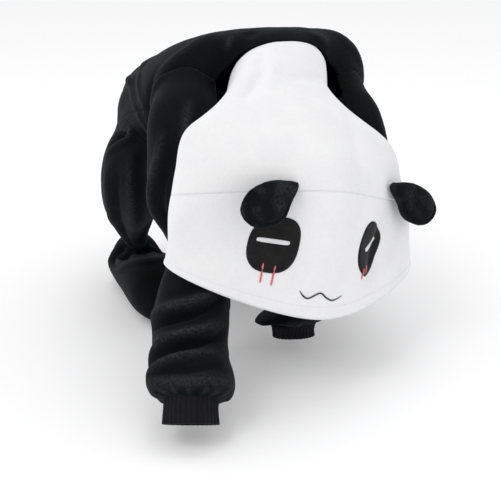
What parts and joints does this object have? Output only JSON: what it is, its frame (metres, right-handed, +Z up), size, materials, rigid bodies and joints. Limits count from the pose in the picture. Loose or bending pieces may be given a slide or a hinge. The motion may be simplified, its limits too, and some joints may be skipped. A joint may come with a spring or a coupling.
{
  "type": "animal costume suit",
  "caption": "Child's one-piece plush bear suit with a white hood, held in an all-fours pose; neck, cuffs and hood stay open for the wearer.",
  "frame": {"origin": "inside face of the upper back, on the middle line, where the wearer's back holds the suit up", "axes": "+Z up, wearer faces -Y, wearer's right side is -X"},
  "size_m": [0.3646, 0.6126, 0.3667],
  "materials": {
    "black_plush": "short soft pile",
    "black_rib_knit": "knitted rib",
    "white_fleece": "short soft pile",
    "charcoal_felt": "matt felt",
    "white_felt": "matt felt",
    "black_button": "satin"
  },
  "bodies": {
    "root": {"body_back": "black_plush", "body_front_left": "black_plush", "body_front_right": "black_plush", "seat": "black_plush", "front_placket": "black_plush", "sleeve_right": "black_plush", "sleeve_left": "black_plush", "cuff_right": "black_rib_knit", "cuff_left": "black_rib_knit", "leg_right": "black_plush", "leg_left": "black_plush", "foot_right": "black_plush", "foot_left": "black_plush", "hood_back": "white_fleece", "hood_face": "white_fleece", "eye_patch_right": "charcoal_felt", "eye_patch_left": "charcoal_felt", "eye_slit_right": "white_felt", "eye_slit_left": "white_felt", "ear_right": "black_plush", "ear_left": "black_plush", "button_1": "black_button", "button_2": "black_button", "button_3": "black_button", "button_4": "black_button"}
  },
  "joints": []
}
